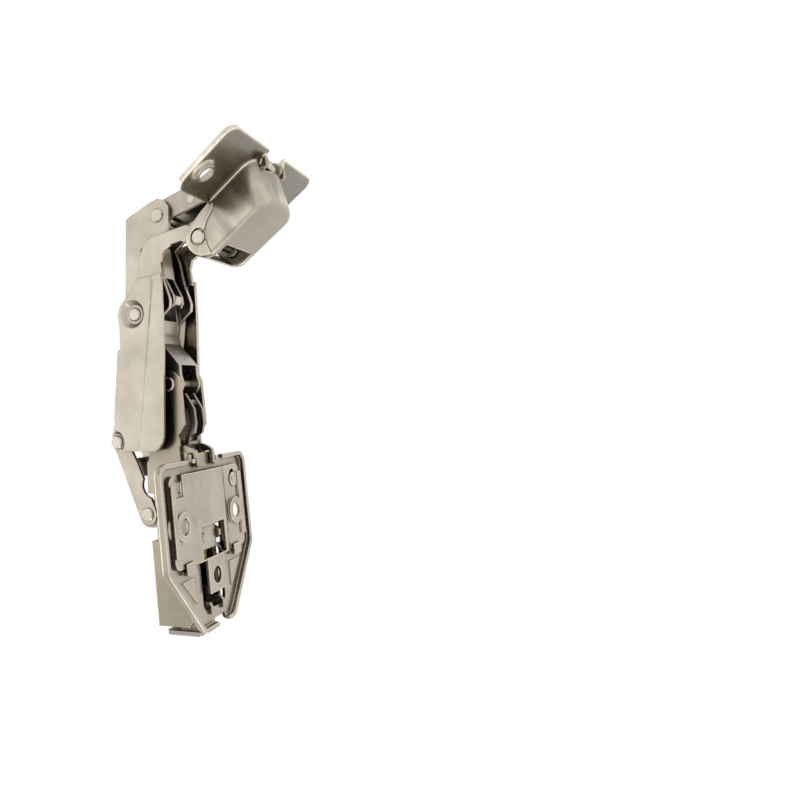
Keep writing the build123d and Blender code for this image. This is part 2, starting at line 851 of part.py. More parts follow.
with BuildPart() as inner_arm_channel:
    with BuildSketch(Plane.XZ):
        with BuildLine():
            Polyline(
                channel_web_start,
                channel_web_end,
                (95.8, 16.4),
                (98.7, 7.6),
                (99.2, 4.9),
                (98.3, 2.8),
                (96.0, 1.3),
                (90.1, 1.7),
                (87.7, 4.1),
                (85.2, 7.8),
                (81.6, 6.6),
                (73.6, 5.5),
                (69.0, 4.2),
                (67.0, 3.7),
                (64.8, 4.1),
                (61.9, 7.9),
                (60.8, 9.4),
                (58.0, 10.1),
                (54.8, 9.7),
                (54.4, 11.4),
                (59.6, 19.4),
                (63.0, 21.0),
                (66.5, 21.0),
                close=True,
            )
        make_face()
    extrude(amount=channel_half, both=True)
    with BuildSketch(Plane.XZ):
        with BuildLine():
            Polyline(
                (50, 24),
                along(channel_web_start, channel_web_end, 0.0, 4),
                along(channel_web_start, channel_web_end, 0.0, -arm_sheet),
                along(channel_web_start, channel_web_end, 25.0, -arm_sheet),
                along(channel_web_start, channel_web_end, 25.0, 4),
                (104, 24),
                (104, -2),
                (50, -2),
                close=True,
            )
        make_face()
    extrude(amount=channel_half - arm_sheet, both=True, mode=Mode.SUBTRACT)
    add(side_holes(middle_pivot, pin_radius + pin_fit, 10), mode=Mode.SUBTRACT)
    add(side_holes(front_link_pivot, pin_radius + pin_fit, 10), mode=Mode.SUBTRACT)
    add(side_holes(arm_rivet_place, arm_rivet_radius + pin_fit, 10), mode=Mode.SUBTRACT)
    add(side_holes(spring_pin_place, spring_pin_radius + pin_fit, 10), mode=Mode.SUBTRACT)
finish("inner_arm_channel", inner_arm_channel.part)

bracket_ear_radius = 4.1

with BuildPart() as inner_arm_bracket:
    with BuildSketch(Plane.XZ):
        with BuildLine():
            Polyline(
                (41.5, 2.9),
                (44.2, 3.4),
                (47.0, 3.3),
                (54.5, 9.0),
                (58.0, 10.0),
                (60.8, 9.3),
                (62.0, 8.7),
                (73.6, 9.0),
                (74.2, 12.0),
                (73.0, 17.6),
                (66.5, 19.8),
                (63.0, 19.8),
                (59.0, 18.2),
                (39.9, 10.8),
                (37.6, 8.4),
                (37.6, 5.6),
                (39.0, 3.7),
                close=True,
            )
        make_face()
        with Locations(base_front_pivot):
            Circle(bracket_ear_radius)
    extrude(amount=bracket_half, both=True)
    with BuildSketch(Plane.XZ):
        with BuildLine():
            Polyline(
                (30, 0),
                (46.4, 0),
                (47.4, 5.1),
                (54.2, 10.3),
                (58.2, 11.3),
                (61.4, 10.4),
                (62.0, 8.0),
                (80, 8.0),
                (80, 24),
                (51.0, 24),
                (49.6, 13.1),
                (45.6, 11.5),
                (44.0, 24),
                (30, 24),
                close=True,
            )
        make_face()
    extrude(amount=bracket_half - arm_sheet, both=True, mode=Mode.SUBTRACT)
    # Walls set out against the channel where the two are riveted together.
    with BuildSketch(Plane.XZ.offset(bracket_half - 0.2), Plane.XZ.offset(-bracket_seat_half)):
        with BuildLine():
            Polyline(
                (60.4, 12.0),
                (63.0, 9.2),
                (73.4, 9.2),
                (74.0, 12.0),
                (72.8, 17.4),
                (66.5, 19.6),
                (63.0, 19.6),
                (60.4, 18.4),
                close=True,
            )
        make_face()
    extrude(amount=bracket_seat_half - bracket_half + 0.2)
    add(side_holes(base_front_pivot, pin_radius + pin_fit, 10), mode=Mode.SUBTRACT)
    add(side_holes(middle_pivot, pin_radius + pin_fit, 10), mode=Mode.SUBTRACT)
    add(side_holes(arm_rivet_place, arm_rivet_radius + pin_fit, 10), mode=Mode.SUBTRACT)
finish("inner_arm_bracket", inner_arm_bracket.part)

arm_rivets = rivet_pair(
    arm_rivet_place, bracket_half - arm_sheet, channel_half, arm_rivet_radius, arm_rivet_radius, 0
)
finish("arm_rivets", arm_rivets)

# ---------------------------------------------------------------- closing lever inside the inner arm
closing_lever_half = 3.0
closing_sheet = 1.0
roller_place = (68.0, 6.4)
roller_pin_radius = 0.8

with BuildPart() as closing_lever:
    with BuildSketch(Plane.XZ):
        with BuildLine():
            Polyline(
                (85.6, 7.9),
                (86.2, 11.2),
                (84.9, 13.2),
                (82.8, 13.0),
                (75.0, 11.0),
                (67.6, 8.6),
                (65.9, 7.6),
                (65.7, 5.6),
                (66.9, 4.7),
                (69.2, 4.8),
                (75.0, 7.2),
                close=True,
            )
        make_face()
    extrude(amount=closing_lever_half, both=True)
    with BuildSketch(Plane.XZ):
        with BuildLine():
            Polyline(
                (60, 0),
                (75.2, 0),
                (75.2, 8.2),
                (88, 8.2 + 12.8 * 0.066),
                (88, 20),
                (60, 20),
                close=True,
            )
        make_face()
    extrude(amount=closing_lever_half - closing_sheet, both=True, mode=Mode.SUBTRACT)
    add(side_holes(spring_pin_place, spring_pin_radius + pin_fit, 10), mode=Mode.SUBTRACT)
    add(side_holes(roller_place, roller_pin_radius + pin_fit, 10), mode=Mode.SUBTRACT)
finish("closing_lever", closing_lever.part)

closing_pin = cross_pin(spring_pin_place, channel_half, spring_pin_radius, spring_pin_radius, 0)
finish("closing_pin", closing_pin)

roller_pin = cross_pin(roller_place, closing_lever_half, roller_pin_radius, roller_pin_radius, 0)
finish("roller_pin", roller_pin)

with BuildPart() as cam_roller:
    with BuildSketch(Plane.XZ):
        with Locations(roller_place):
            Circle(1.9)
            Circle(roller_pin_radius + pin_fit, mode=Mode.SUBTRACT)
    extrude(amount=1.75, both=True)
    chamfer(cam_roller.edges().filter_by(GeomType.CIRCLE).sort_by(SortBy.RADIUS)[-2:], 0.25)
finish("cam_roller", cam_roller.part)

# Torsion spring on the lever's pin, one leg under the channel's web and one on the lever's floor.
spring_coil_inner = 1.55
spring_coil_outer = 2.2

with BuildPart() as closing_spring:
    with BuildSketch(Plane.XZ.offset(1.8)):
        with Locations(spring_pin_place):
            Circle(spring_coil_outer)
            Circle(spring_coil_inner, mode=Mode.SUBTRACT)
    extrude(amount=-3.6)
    for groove in (0.9, 0.0, -0.9):
        with BuildSketch(Plane.XZ.offset(groove)):
            with Locations(spring_pin_place):
                Circle(spring_coil_outer + 0.1)
                Circle(spring_coil_outer - 0.25, mode=Mode.SUBTRACT)
        extrude(amount=-0.15, mode=Mode.SUBTRACT)
    with BuildSketch(Plane((spring_pin_place[0], -1.2, spring_pin_place[1] + 2.1), z_dir=(-1, 0, 0.55))):
        Circle(0.42)
    extrude(amount=6.0)
finish("closing_spring", closing_spring.part)

# ---------------------------------------------------------------- cup link
link_eye = 3.2
seat_eye = 2.5
link_web_offset = 4.4
link_open_offset = 2.3
link_end = (
    flange_front[0] + link_seat_s * flange_direction[0],
    flange_front[1] + link_seat_s * flange_direction[1],
)
link_length = math.dist(front_link_pivot, link_end)
link_rivet_place = along(front_link_pivot, link_end, 11.8, 0.27)

with BuildPart() as cup_link:
    with BuildSketch(Plane.XZ):
        with BuildLine():
            Polyline(
                along(front_link_pivot, link_end, -1.0, 3.0),
                along(front_link_pivot, link_end, 2.2, link_web_offset),
                along(front_link_pivot, link_end, 25.1, link_web_offset),
                along(front_link_pivot, link_end, 30.6, 2.6),
                along(front_link_pivot, link_end, link_length, seat_eye),
                along(front_link_pivot, link_end, link_length, -seat_eye),
                along(front_link_pivot, link_end, 30.0, -link_open_offset),
                along(front_link_pivot, link_end, 4.0, -link_open_offset),
                along(front_link_pivot, link_end, -1.0, -3.0),
                close=True,
            )
        make_face()
        with Locations(front_link_pivot):
            Circle(link_eye)
        with Locations(link_end):
            Circle(seat_eye)
    extrude(amount=cup_link_half, both=True)
    with BuildSketch(Plane.XZ):
        with BuildLine():
            Polyline(
                along(front_link_pivot, link_end, -6.0, 8.0),
                along(front_link_pivot, link_end, 2.2, 8.0),
                along(front_link_pivot, link_end, 2.2, link_web_offset - arm_sheet),
                along(front_link_pivot, link_end, 25.0, link_web_offset - arm_sheet),
                along(front_link_pivot, link_end, 25.0, 8.0),
                along(front_link_pivot, link_end, 42.0, 8.0),
                along(front_link_pivot, link_end, 42.0, -8.0),
                along(front_link_pivot, link_end, -6.0, -8.0),
                close=True,
            )
        make_face()
    extrude(amount=cup_link_half - arm_sheet, both=True, mode=Mode.SUBTRACT)
    # Bridge between the walls beside the seat pin.
    with BuildSketch(Plane.XZ):
        with BuildLine():
            Polyline(
                along(front_link_pivot, link_end, 32.4, seat_pin_radius + 0.1),
                along(front_link_pivot, link_end, 32.4, seat_eye),
                along(front_link_pivot, link_end, 36.8, seat_eye),
                along(front_link_pivot, link_end, 36.8, seat_pin_radius + 0.1),
                close=True,
            )
        make_face()
    extrude(amount=cup_link_half - 0.2, both=True)
    add(side_holes(front_link_pivot, pin_radius + pin_fit, 8), mode=Mode.SUBTRACT)
    add(side_holes(link_end, seat_pin_radius + pin_fit, 8), mode=Mode.SUBTRACT)
    add(side_holes(link_rivet_place, 1.3 + pin_fit, 8), mode=Mode.SUBTRACT)
finish("cup_link", cup_link.part)

link_rivets = rivet_pair(link_rivet_place, cup_link_half - arm_sheet, cup_link_half, 1.3, 1.3, 0)
finish("link_rivets", link_rivets)

# ---------------------------------------------------------------- pivot pins
finish("base_front_pin", cross_pin(base_front_pivot, base_half, pin_radius, rivet_head, 0.6))
finish("base_rear_pin", cross_pin(base_rear_pivot, rear_link_outer, pin_radius, rivet_head, 0.6))
finish("middle_pin", cross_pin(middle_pivot, upper_arm_half - 1.1, pin_radius, rivet_head, rivet_head_height))
finish("cup_pin", cross_pin(cup_pivot, cup_half, pin_radius, rivet_head, rivet_head_height))
finish("front_link_pin", cross_pin(front_link_pivot, channel_half, pin_radius, rivet_head, 0.6))
finish("seat_pin", cross_pin(link_end, 7.3, seat_pin_radius, seat_pin_radius, 0))
link_pivot_rivets = rivet_pair(link_pivot, rear_link_inner, outer_arm_half - 1.4, pin_radius, rivet_head, 0.8)
finish("link_pivot_rivets", link_pivot_rivets)

# ---------------------------------------------------------------- cup
# Drawn pan with straight sides, a rounded rear that fits a 35 mm bore, and a two-winged flange.
mouth_corner_s = 16.4
rear_rake = 5.3
rear_corner = 4.4
front_corner = 6.0
notch_half = 5.85
seat_slot_half = 7.6
seat_depth = 2.1
front_wall_top = -6.6
window_front = -10.6
window_rear = -3.6
window_half = 8.6
mouth_direction_3d = (mouth_direction[0], 0, mouth_direction[1])
mouth_axis = Axis((0, 0, 0), mouth_direction_3d)
cup_axis = Axis((0, 0, 0), (flange_direction[0], 0, flange_direction[1]))
cup_plane = Plane(
    origin=(flange_front[0], 0, flange_front[1]),
    x_dir=(flange_direction[0], 0, flange_direction[1]),
    z_dir=(mouth_direction[0], 0, mouth_direction[1]),
)
# Side view of the cup, with local x along the flange and local y out of the mouth.
cup_side = Plane(
    origin=(flange_front[0], 0, flange_front[1]),
    x_dir=(flange_direction[0], 0, flange_direction[1]),
    z_dir=(0, -1, 0),
)


def pan(wall, height):
    """The pan's outer form, or its hollow when inset by a wall: straight sides and a raked, bowed rear."""
    half = cup_half - wall
    rake = math.hypot(rear_rake, cup_depth)
    with BuildPart() as form:
        with BuildSketch(cup_plane.offset(height)):
            with Locations(((cup_front_s + wall + 7) / 2, 0)):
                Rectangle(7 - cup_front_s - wall, 2 * half)
        extrude(amount=wall - cup_depth - height)
        low_front = form.edges().filter_by(Axis.Y).group_by(cup_axis)[0].sort_by(mouth_axis)[0]
        fillet(low_front, front_corner - wall)
        with BuildSketch(cup_plane.offset(height)) as rear:
            with BuildLine():
                Polyline(
                    (mouth_corner_s - wall / 2, -half),
                    (0, -half),
                    (0, half),
                    (mouth_corner_s - wall / 2, half),
                )
                ThreePointArc(
                    (mouth_corner_s - wall / 2, half),
                    (mouth_rear_s - wall, 0),
                    (mouth_corner_s - wall / 2, -half),
                )
            make_face()
            corners = rear.vertices().group_by(cup_axis)[-1]
            fillet(corners, rear_corner - 1.8 * wall)
        extrude(
            amount=rake * (1 - (wall - height) / cup_depth),
            dir=cup_plane.from_local_coords(Vector(-rear_rake, 0, -cup_depth)) - cup_plane.origin,
        )
    return form.part


with BuildPart() as cup:
    add(pan(0, 0))
    fillet(cup.edges().group_by(mouth_axis)[0], 1.4)
    add(pan(cup_sheet, 0), mode=Mode.SUBTRACT)
    # Two-winged flange round the rear of the mouth.
    with BuildSketch(cup_plane):
        with Locations((flange_length / 2, 0)):
            RectangleRounded(flange_length, 2 * flange_half, flange_corner)
    extrude(amount=flange_sheet)
    add(pan(cup_sheet, flange_sheet), mode=Mode.SUBTRACT)
    # Mouth edge of each side wall falls away in front of the flange.
    with BuildSketch(cup_side):
        with BuildLine():
            Polyline(
                (0, 4),
                (0, -0.5),
                (-4.5, -2.9),
                (-7.4, -3.8),
                (-11.6, -3.5),
                (-16, -3.5),
                (-16, 4),
                close=True,
            )
        make_face()
    extrude(amount=40, both=True, mode=Mode.SUBTRACT)
    # Low front wall that lets the outer arm's legs pass.
    with BuildSketch(cup_side):
        with BuildLine():
            Polyline((-11.2, 4), (-11.2, front_wall_top), (-16, front_wall_top), (-16, 4), close=True)
        make_face()
    extrude(amount=cup_half - cup_sheet, both=True, mode=Mode.SUBTRACT)
    # Window in the floor with a small tab turned up at its rear edge.
    with BuildSketch(cup_plane.offset(-cup_depth - 1)):
        with Locations(((window_front + window_rear) / 2, 0)):
            RectangleRounded(window_rear - window_front, 2 * window_half, 1.0)
    extrude(amount=cup_sheet + 5.0, mode=Mode.SUBTRACT)
    with BuildSketch(cup_plane.offset(-cup_depth)):
        with Locations((window_rear + cup_sheet / 2, 0)):
            Rectangle(cup_sheet, 6.0)
    extrude(amount=4.0)
    # Notch in the rear edge for the cup link, and slots for the seat pin.
    with BuildSketch(cup_plane.offset(-3.5)):
        with Locations((18.5, 0)):
            Rectangle(15, 2 * notch_half)
    extrude(amount=8, mode=Mode.SUBTRACT)
    with BuildSketch(cup_plane.offset(-seat_depth)):
        with Locations(((link_seat_s + seat_pin_radius + 0.1 + 11.0) / 2, 0)):
            Rectangle(link_seat_s + seat_pin_radius + 0.1 - 11.0, 2 * seat_slot_half)
    extrude(amount=8, mode=Mode.SUBTRACT)
    # Seats for the pin at the end of the cup link, turned down beside the notch.
    with BuildSketch(cup_side.offset(notch_half), cup_side.offset(-notch_half - cup_sheet)):
        with BuildLine():
            Polyline(
                (link_seat_s, -3.3),
                (link_seat_s, -1.0),
                (19.2, 1.3),
                (21.2, 1.3),
                (21.2, 0),
                (19.4, -3.3),
                close=True,
            )
        make_face()
    extrude(amount=cup_sheet)
    with BuildSketch(cup_side):
        with Locations((link_seat_s, 0)):
            Circle(seat_pin_radius + pin_fit)
    extrude(amount=seat_slot_half, both=True, mode=Mode.SUBTRACT)
    # Screw holes, each in a cone pressed towards the door.
    with BuildSketch(cup_plane):
        with Locations((flange_hole_s, flange_hole_pitch / 2), (flange_hole_s, -flange_hole_pitch / 2)):
            Circle(3.7)
    extrude(amount=-1.4, taper=32)
    with BuildSketch(cup_plane.offset(flange_sheet)):
        with Locations((flange_hole_s, flange_hole_pitch / 2), (flange_hole_s, -flange_hole_pitch / 2)):
            Circle(4.1)
    extrude(amount=-2.0, taper=38, mode=Mode.SUBTRACT)
    with BuildSketch(cup_plane.offset(4)):
        with Locations((flange_hole_s, flange_hole_pitch / 2), (flange_hole_s, -flange_hole_pitch / 2)):
            Circle(flange_hole / 2)
    extrude(amount=-8, mode=Mode.SUBTRACT)
    add(side_holes(cup_pivot, pin_radius + pin_fit, 14), mode=Mode.SUBTRACT)
finish("cup", cup.part)
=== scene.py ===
import json
import math

import bpy
from mathutils import Matrix, Vector


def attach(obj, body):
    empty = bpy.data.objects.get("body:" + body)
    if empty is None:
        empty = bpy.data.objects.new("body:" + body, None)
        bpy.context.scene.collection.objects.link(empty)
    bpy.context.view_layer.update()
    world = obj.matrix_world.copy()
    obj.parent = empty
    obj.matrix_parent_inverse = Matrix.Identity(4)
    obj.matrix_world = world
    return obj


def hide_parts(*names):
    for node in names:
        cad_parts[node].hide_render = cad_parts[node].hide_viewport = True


# Blender works in metres; a length in millimetres is multiplied by this.
MM = 0.001

# ---------------------------------------------------------------- frame
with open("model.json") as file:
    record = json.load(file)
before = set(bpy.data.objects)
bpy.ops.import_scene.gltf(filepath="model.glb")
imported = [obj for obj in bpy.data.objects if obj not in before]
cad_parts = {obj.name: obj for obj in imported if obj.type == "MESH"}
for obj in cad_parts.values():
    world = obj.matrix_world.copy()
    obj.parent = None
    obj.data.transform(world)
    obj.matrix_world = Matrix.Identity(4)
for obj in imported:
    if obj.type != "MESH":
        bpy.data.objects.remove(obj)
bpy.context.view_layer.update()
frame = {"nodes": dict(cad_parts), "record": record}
nodes = frame["nodes"]
slot_of = {entry["node"]: entry["material_slot"] for entry in frame["record"]["subparts"]}

# ---------------------------------------------------------------- shader helpers
# The Mix node has its own sockets for each type of data, found by number.
MIX_COLOUR_FIRST = 6
MIX_COLOUR_SECOND = 7
MIX_COLOUR_RESULT = 2
MIX_VALUE_FIRST = 2
MIX_VALUE_SECOND = 3
MIX_VALUE_RESULT = 0

# Rays that the bevel and hollow nodes send out at each point.
NODE_SAMPLES = 6

# The stretch of a noise's values, out of 0 to 1, over which a shade or a roughness changes.
NOISE_MIDDLE = (0.35, 0.65)
NOISE_MOST = (0.3, 0.7)

# Agreement between the bevelled and the true normal: from flat to edge.
SOFT_EDGE = (0.99, 0.80)


def new_material(name):
    material = bpy.data.materials.new(name)
    material.use_nodes = True
    tree = material.node_tree
    tree.nodes.clear()
    output = tree.nodes.new("ShaderNodeOutputMaterial")
    shader = tree.nodes.new("ShaderNodeBsdfPrincipled")
    tree.links.new(shader.outputs["BSDF"], output.inputs["Surface"])
    return material, tree, shader


def object_noise(tree, scale, detail, stretch=(1.0, 1.0, 1.0), turn=None):
    """Noise fixed to the piece, so that it rides along with it.

    With a turn about Y, in radians, stretch is how much longer the spots are along the turned axes.
    Without one, it multiplies how fast the noise changes along each axis.
    """
    place = tree.nodes.new("ShaderNodeTexCoord")
    mapping = tree.nodes.new("ShaderNodeMapping")
    mapping.inputs["Scale"].default_value = stretch
    if turn is not None:
        mapping.vector_type = "TEXTURE"
        mapping.inputs["Rotation"].default_value = (0.0, turn, 0.0)
    noise = tree.nodes.new("ShaderNodeTexNoise")
    noise.inputs["Scale"].default_value = scale
    noise.inputs["Detail"].default_value = detail
    tree.links.new(place.outputs["Object"], mapping.inputs["Vector"])
    tree.links.new(mapping.outputs["Vector"], noise.inputs["Vector"])
    return noise.outputs["Fac"]


def ramp(tree, source, low, high, low_value, high_value):
    """Goes from low_value to high_value as the source goes from low to high."""
    node = tree.nodes.new("ShaderNodeMapRange")
    node.inputs["From Min"].default_value = low
    node.inputs["From Max"].default_value = high
    node.inputs["To Min"].default_value = low_value
    node.inputs["To Max"].default_value = high_value
    tree.links.new(source, node.inputs["Value"])
    return node.outputs["Result"]


def mix_colour(tree, factor, first, second):
    """Goes from the first colour to the second, each a node's output or red, green and blue."""
    node = tree.nodes.new("ShaderNodeMix")
    node.data_type = "RGBA"
    for number, colour in ((MIX_COLOUR_FIRST, first), (MIX_COLOUR_SECOND, second)):
        if isinstance(colour, bpy.types.NodeSocket):
            tree.links.new(colour, node.inputs[number])
        else:
            node.inputs[number].default_value = (*colour, 1)
    tree.links.new(factor, node.inputs["Factor"])
    return node.outputs[MIX_COLOUR_RESULT]


def soft_edges(tree, shader, radius, bump_source, bump_distance, strength, edge_range=SOFT_EDGE):
    """Rounds the look of sheared edges, adds a fine bump, and returns 1 on edges and 0 on flats."""
    bevel = tree.nodes.new("ShaderNodeBevel")
    bevel.samples = NODE_SAMPLES
    bevel.inputs["Radius"].default_value = radius
    flat = tree.nodes.new("ShaderNodeNewGeometry")
    agreement = tree.nodes.new("ShaderNodeVectorMath")
    agreement.operation = "DOT_PRODUCT"
    tree.links.new(bevel.outputs["Normal"], agreement.inputs[0])
    tree.links.new(flat.outputs["Normal"], agreement.inputs[1])
    bump = tree.nodes.new("ShaderNodeBump")
    bump.inputs["Strength"].default_value = strength
    bump.inputs["Distance"].default_value = bump_distance
    tree.links.new(bump_source, bump.inputs["Height"])
    tree.links.new(bevel.outputs["Normal"], bump.inputs["Normal"])
    tree.links.new(bump.outputs["Normal"], shader.inputs["Normal"])
    return ramp(tree, agreement.outputs["Value"], *edge_range, 0.0, 1.0)


def scaled(tree, colour, factor):
    """A colour times a factor."""
    node = tree.nodes.new("ShaderNodeVectorMath")
    node.operation = "SCALE"
    tree.links.new(colour, node.inputs[0])
    tree.links.new(factor, node.inputs["Scale"])
    return node.outputs["Vector"]


def math_node(tree, operation, first, second=None):
    node = tree.nodes.new("ShaderNodeMath")
    node.operation = operation
    tree.links.new(first, node.inputs[0])
    if second is not None:
        tree.links.new(second, node.inputs[1])
    return node.outputs[0]


def reach_along(tree, source, direction):
    """How far a vector reaches along a direction."""
    node = tree.nodes.new("ShaderNodeVectorMath")
    node.operation = "DOT_PRODUCT"
    node.inputs[1].default_value = direction
    tree.links.new(source, node.inputs[0])
    return node.outputs["Value"]


# ---------------------------------------------------------------- metals and plastic
# The way that the cup's mouth opens, at rest, and the turn about Y that brings +X to it.
CUP_MOUTH = (0.851, 0.0, 0.525)
CUP_TURN = math.radians(-31.7)

# Heights along the mouth's direction, in metres from the origin: over CUP_WALL the cup's painted shade
# deepens towards its flange, and over CUP_RIM the painted highlight on the flange's rim comes in.
CUP_WALL = (0.0600, 0.0695)
CUP_RIM = (0.0697, 0.0703)

STREAK_SCALE = 170.0
STREAK_LENGTH = 3.5
STREAK_MIDDLE = (0.38, 0.62)

MOTTLE_SCALE = 90.0
GRAIN_SCALE = 420.0
GRAIN_STRETCH = (0.12, 1.0, 1.0)
GRAIN_DEPTH = 0.05 * MM
HOLLOW_OPENNESS = (0.2, 0.9)
# Warm colour that the painted edge highlight is mixed towards, and how far.
EDGE_WARMTH_COLOUR = (0.58, 0.42, 0.28)
EDGE_WARMTH_SHARE = 0.3

PLASTIC_MOTTLE_SCALE = 160.0
PORE_SCALE = 2600.0
PORE_DEPTH = 0.03 * MM
PLASTIC_EDGE = 0.2 * MM
PLASTIC_SPREAD = 0.06


def cup_streaks_and_painted_light(tree):
    """Painted shade and highlight of the cup, with streaks: darker towards its flange, faces that face
    along the mouth's direction painted darker than its walls, a painted highlight on the flange's rim, and
    streaks down its walls.
    """
    place = tree.nodes.new("ShaderNodeTexCoord")
    noise = object_noise(tree, STREAK_SCALE, 3.0, (STREAK_LENGTH, 1.0, 1.0), CUP_TURN)
    facing = math_node(tree, "ABSOLUTE", reach_along(tree, place.outputs["Normal"], CUP_MOUTH))
    height = reach_along(tree, place.outputs["Object"], CUP_MOUTH)
    streaks = ramp(tree, noise, *STREAK_MIDDLE, 1.32, 0.74)
    # Painted shade: the walls are painted darker towards the flange.
    shaded_wall = math_node(tree, "MULTIPLY", streaks, ramp(tree, height, *CUP_WALL, 1.0, 0.66))
    # Painted highlight: the flange's rim is painted brighter.
    highlit_rim = math_node(tree, "MULTIPLY", shaded_wall, ramp(tree, height, *CUP_RIM, 1.0, 2.3))
    shade = tree.nodes.new("ShaderNodeMix")
    shade.data_type = "FLOAT"
    tree.links.new(facing, shade.inputs["Factor"])
    tree.links.new(highlit_rim, shade.inputs[MIX_VALUE_FIRST])
    # Painted shade: faces that face along the mouth's direction are painted darker, more so towards the
    # flange.
    tree.links.new(ramp(tree, height, *CUP_WALL, 0.78, 0.50), shade.inputs[MIX_VALUE_SECOND])
    return shade.outputs[MIX_VALUE_RESULT]


def plated_metal(
    name,
    colour,
    tint,
    roughness,
    spread,
    grain,
    edge=0.35,
    hollow_shade=0.35,
    reach=12.0,
    with_cup_streaks_and_painted_light=False,
    edge_gain=1.4,
    edge_range=SOFT_EDGE,
):
    """Plated sheet steel: mottled tint, rolled grain, painted shade in hollows and painted highlights on
    edges.

    The edge's radius and the reach that makes a hollow are in millimetres.
    """
    material, tree, shader = new_material(name)
    shader.inputs["Metallic"].default_value = 1.0
    cloud = object_noise(tree, MOTTLE_SCALE, 4.0)
    rolled = object_noise(tree, GRAIN_SCALE, 5.0, GRAIN_STRETCH)
    edges = soft_edges(tree, shader, edge * MM, rolled, GRAIN_DEPTH, grain, edge_range)
    # Painted shade: the base colour is darkened, down to hollow_shade, in hollows that the ambient
    # occlusion node finds within reach.
    hollow = tree.nodes.new("ShaderNodeAmbientOcclusion")
    hollow.samples = NODE_SAMPLES
    hollow.inputs["Distance"].default_value = reach * MM
    mottled = mix_colour(tree, ramp(tree, cloud, *NOISE_MIDDLE, 0.0, 1.0), colour, tint)
    openness = ramp(tree, hollow.outputs["AO"], *HOLLOW_OPENNESS, hollow_shade, 1.0)
    shaded_colour = scaled(tree, mottled, openness)
    # The cup's painted shade, painted rim highlight and streaks.
    if with_cup_streaks_and_painted_light:
        shaded_colour = scaled(tree, shaded_colour, cup_streaks_and_painted_light(tree))
    # Painted highlight: edges are painted brighter by edge_gain, and warmer.
    edge_highlit_colour = scaled(tree, shaded_colour, ramp(tree, edges, 0.0, 1.0, 1.0, edge_gain))
    warmth = ramp(tree, edges, 0.0, 1.0, 0.0, EDGE_WARMTH_SHARE)
    warmed = mix_colour(tree, warmth, edge_highlit_colour, EDGE_WARMTH_COLOUR)
    tree.links.new(warmed, shader.inputs["Base Color"])
    polish = ramp(tree, rolled, *NOISE_MOST, roughness - spread, roughness + spread)
    tree.links.new(polish, shader.inputs["Roughness"])
    return material


def moulded_plastic(name, colour, tint, roughness):
    """Moulded plastic with a fine spark-eroded grain."""
    material, tree, shader = new_material(name)
    cloud = object_noise(tree, PLASTIC_MOTTLE_SCALE, 3.0)
    pores = object_noise(tree, PORE_SCALE, 2.0)
    mottled = mix_colour(tree, ramp(tree, cloud, *NOISE_MIDDLE, 0.0, 1.0), colour, tint)
    tree.links.new(mottled, shader.inputs["Base Color"])
    lowest = roughness - PLASTIC_SPREAD
    highest = roughness + PLASTIC_SPREAD
    tree.links.new(ramp(tree, pores, *NOISE_MOST, lowest, highest), shader.inputs["Roughness"])
    soft_edges(tree, shader, PLASTIC_EDGE, pores, PORE_DEPTH, 0.3)
    return material


finishes = {
    "nickel_plating": plated_metal(
        "nickel_plating",
        colour=(0.475, 0.43, 0.36),
        tint=(0.385, 0.345, 0.28),
        roughness=0.24,
        spread=0.05,
        grain=0.08,
        edge=0.5,
        hollow_shade=0.42,
        edge_gain=1.5,
        edge_range=(0.995, 0.90),
    ),
    "dark_nickel": plated_metal(
        "dark_nickel",
        colour=(0.40, 0.36, 0.30),
        tint=(0.34, 0.305, 0.255),
        roughness=0.28,
        spread=0.05,
        grain=0.10,
        hollow_shade=0.55,
    ),
    "pin_steel": plated_metal(
        "pin_steel",
        colour=(0.52, 0.475, 0.40),
        tint=(0.45, 0.405, 0.335),
        roughness=0.20,
        spread=0.05,
        grain=0.08,
        edge=0.25,
    ),
    "screw_zinc": plated_metal(
        "screw_zinc",
        colour=(0.58, 0.55, 0.49),
        tint=(0.52, 0.49, 0.44),
        roughness=0.20,
        spread=0.05,
        grain=0.08,
        edge=0.25,
    ),
    "damper_housing": moulded_plastic(
        "damper_housing",
        colour=(0.50, 0.31, 0.09),
        tint=(0.43, 0.27, 0.075),
        roughness=0.32,
    ),
    "spring_steel": plated_metal(
        "spring_steel",
        colour=(0.29, 0.26, 0.22),
        tint=(0.22, 0.195, 0.165),
        roughness=0.32,
        spread=0.06,
        grain=0.15,
        edge=0.15,
        hollow_shade=0.6,
    ),
}

# Copies of the nickel plating for single pieces, with darker base colours as painted shade, and their own
# painted shade in hollows and painted highlight on edges; the cup's copy also has its streaks, its painted
# shade and its painted rim highlight.
cup_shaded_finish = plated_metal(
    "nickel_plating_cup_shaded",
    colour=(0.44, 0.395, 0.33),
    tint=(0.385, 0.345, 0.285),
    roughness=0.24,
    spread=0.06,
    grain=0.10,
    edge=1.0,
    hollow_shade=0.40,
    reach=14.0,
    with_cup_streaks_and_painted_light=True,
    edge_gain=1.9,
    edge_range=(0.996, 0.94),
)
plate_shaded_finish = plated_metal(
    "nickel_plating_plate_shaded",
    colour=(0.40, 0.36, 0.30),
    tint=(0.33, 0.295, 0.24),
    roughness=0.26,
    spread=0.06,
    grain=0.10,
    edge=0.6,
    hollow_shade=0.15,
    reach=7.0,
    edge_gain=1.9,
    edge_range=(0.996, 0.93),
)
channel_shaded_finish = plated_metal(
    "nickel_plating_channel_shaded",
    colour=(0.40, 0.35, 0.275),
    tint=(0.33, 0.285, 0.22),
    roughness=0.26,
    spread=0.06,
    grain=0.10,
    hollow_shade=0.2,
)
own_finish = {
    "cup": cup_shaded_finish,
    "upper_plate": plate_shaded_finish,
    "lower_plate": plate_shaded_finish,
    "base_arm": channel_shaded_finish,
    "clip_carrier": channel_shaded_finish,
}

